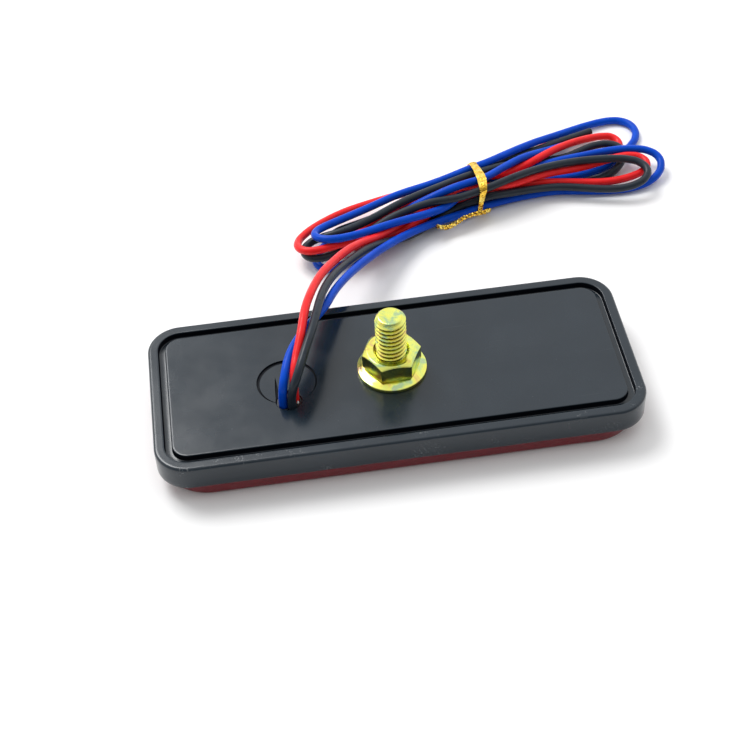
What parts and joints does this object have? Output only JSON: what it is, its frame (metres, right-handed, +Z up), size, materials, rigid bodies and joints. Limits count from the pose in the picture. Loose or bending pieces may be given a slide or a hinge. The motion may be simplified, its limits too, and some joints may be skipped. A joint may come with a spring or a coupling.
{
  "type": "trailer tail light",
  "caption": "Slim rectangular LED trailer tail light: black moulded tray, red lens, central threaded stud with washer and nut, and three flying leads tied in a hank.",
  "frame": {"origin": "centre of the lens face, on the surface the light lies on, below the stud's axis; the cord hank lies on that surface behind the light", "axes": "+X along the light's length, +Y across it towards the side the leads leave over, +Z up out of the back, along the stud"},
  "size_m": [0.1166, 0.097, 0.0225],
  "materials": {
    "black_plastic": "semi-gloss moulded ABS, lightly scuffed",
    "red_lens": "transparent red, polished, pillow optics inside",
    "gasket": "matte",
    "yellow_zinc": "zinc plated, yellow passivated, faintly iridescent",
    "board": "white solder mask",
    "led": "moulded package with clear window",
    "component_black": "satin",
    "copper": "bare stranded copper",
    "solder": "bright solder",
    "sealant": "translucent silicone",
    "wire_red": "soft-sheen PVC",
    "wire_black": "soft-sheen PVC",
    "wire_blue": "soft-sheen PVC",
    "gold_foil": "shiny crinkled foil"
  },
  "bodies": {
    "light": {"rear_housing": "black_plastic", "lens": "red_lens", "lens_gasket": "gasket", "mounting_bolt": "yellow_zinc", "circuit_board": "board", "led_01": "led", "led_02": "led", "led_03": "led", "led_04": "led", "led_05": "led", "led_06": "led", "led_07": "led", "led_08": "led", "led_09": "led", "led_10": "led", "led_11": "led", "led_12": "led", "resistor_1": "component_black", "resistor_2": "component_black", "resistor_3": "component_black", "resistor_4": "component_black", "diode_1": "component_black", "diode_2": "component_black", "core_red": "copper", "core_black": "copper", "core_blue": "copper", "solder_red": "solder", "solder_black": "solder", "solder_blue": "solder", "wire_sealant": "sealant", "lead_red": "wire_red", "lead_black": "wire_black", "lead_blue": "wire_blue", "lead_hank": "wire_blue", "twist_tie": "gold_foil", "twist_tie_tail": "gold_foil"},
    "washer": {"flange_washer": "yellow_zinc"},
    "nut": {"hex_nut": "yellow_zinc"}
  },
  "joints": [
    {"name": "washer_travel", "type": "slide", "parent": "light", "child": "washer", "axis": [0, 0, 1], "range_m": [0, 0.012]},
    {"name": "nut_spin", "type": "hinge", "parent": "washer", "child": "nut", "pos_m": [0, 0, 0.01], "axis": [0, 0, 1], "range_deg": [0, 4320]}
  ],
  "couplings": [
    {"joint": "nut_spin", "follows": "washer_travel", "rad_per_m": 6283.2}
  ]
}
